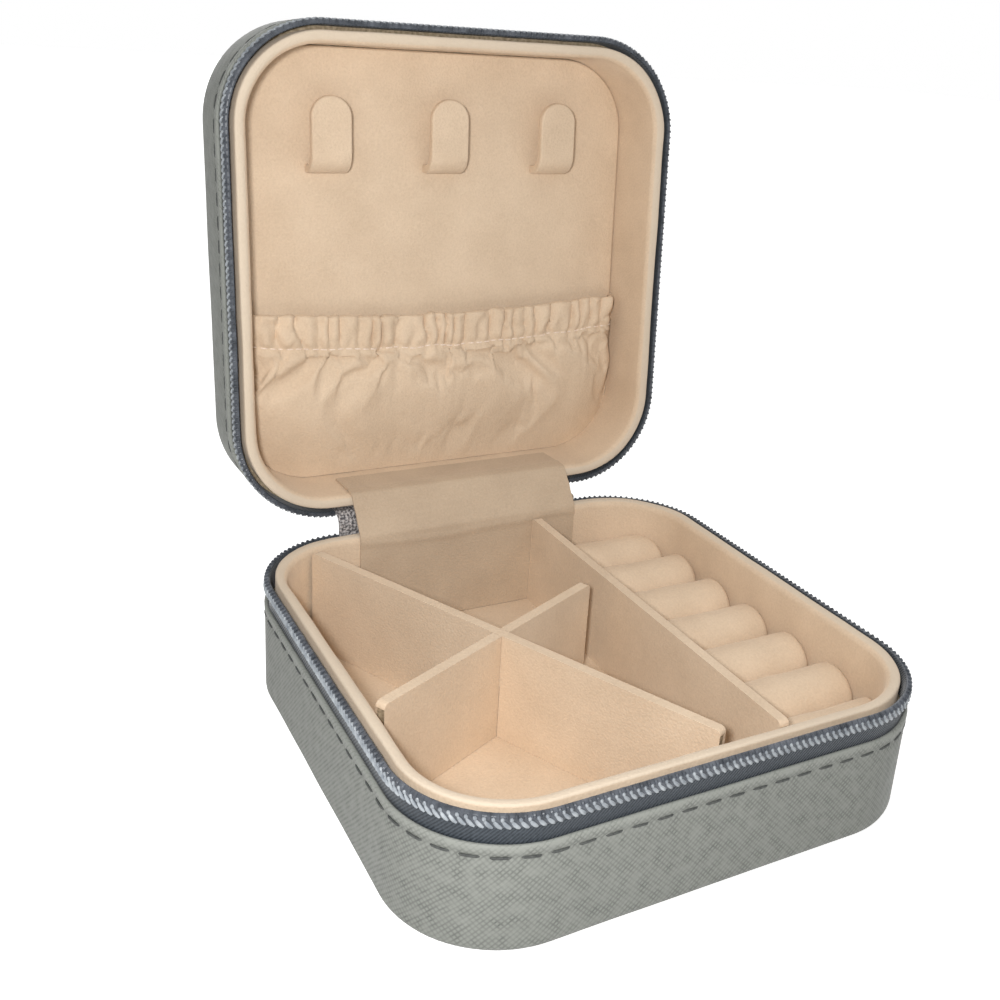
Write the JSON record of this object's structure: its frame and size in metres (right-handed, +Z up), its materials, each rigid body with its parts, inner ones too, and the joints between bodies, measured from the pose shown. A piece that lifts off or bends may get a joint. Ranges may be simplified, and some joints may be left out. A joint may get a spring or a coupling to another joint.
{
  "type": "jewelry box",
  "caption": "Square zip-round jewelry box standing open, with a hooked and pocketed lid, loose cross dividers and stuffed ring rolls.",
  "frame": {"origin": "middle of the base's underside", "axes": "+X right, +Y to the hinge at the back, +Z up"},
  "size_m": [0.101, 0.125, 0.1288],
  "materials": {
    "cover": "cross-hatched grain, low sheen",
    "velvet": "short cream velvet",
    "board": "raw grey card",
    "zip_tape": "slate woven tape",
    "zip_teeth": "silvery nylon coil",
    "slider_metal": "plated",
    "elastic": "woven elastic"
  },
  "bodies": {
    "base": {"base_board": "board", "base_board_frame": "board", "base_bottom_cover": "cover", "base_lining_wall": "velvet", "base_pad": "velvet", "base_side_cover": "cover", "base_zip_tape": "zip_tape", "base_zip_teeth": "zip_teeth", "hinge_lining": "velvet", "hinge_spine": "cover", "ring_bed": "velvet", "ring_divider": "velvet", "ring_roll_1": "velvet", "ring_roll_2": "velvet", "ring_roll_3": "velvet", "ring_roll_4": "velvet", "ring_roll_5": "velvet", "ring_roll_6": "velvet", "ring_roll_7": "velvet", "zip_end": "zip_tape"},
    "lid": {"lid_board": "board", "lid_board_frame": "board", "lid_lining_wall": "velvet", "lid_pad": "velvet", "lid_pocket": "velvet", "lid_side_cover": "cover", "lid_top_cover": "cover", "lid_zip_tape": "zip_tape", "lid_zip_teeth": "zip_teeth", "necklace_hook_1": "velvet", "necklace_hook_2": "velvet", "necklace_hook_3": "velvet", "pocket_elastic": "elastic"},
    "cross_divider": {"cross_divider": "velvet"},
    "long_divider": {"long_divider": "velvet"},
    "slider": {"zip_slider": "slider_metal"},
    "pull": {"zip_pull": "slider_metal"}
  },
  "joints": [
    {"name": "lid_hinge", "type": "hinge", "parent": "base", "child": "lid", "pos_m": [0, 0.0516, 0.0268], "axis": [1, 0, 0], "range_deg": [0, 93], "deforming": ["hinge_lining", "hinge_spine", "zip_end"]},
    {"name": "cross_divider_lift", "type": "slide", "parent": "base", "child": "cross_divider", "axis": [0, 0, -1], "range_m": [-0.03, 0]},
    {"name": "long_divider_lift", "type": "slide", "parent": "cross_divider", "child": "long_divider", "axis": [0, 0, -1], "range_m": [-0.02, 0]},
    {"name": "slider_travel", "type": "slide", "parent": "base", "child": "slider", "axis": [1, 0, 0], "range_m": [0, 0.005]},
    {"name": "pull_swing", "type": "hinge", "parent": "slider", "child": "pull", "pos_m": [0.0238, 0.05263, 0.0249], "axis": [0, 0, -1], "range_deg": [0, 180]}
  ]
}
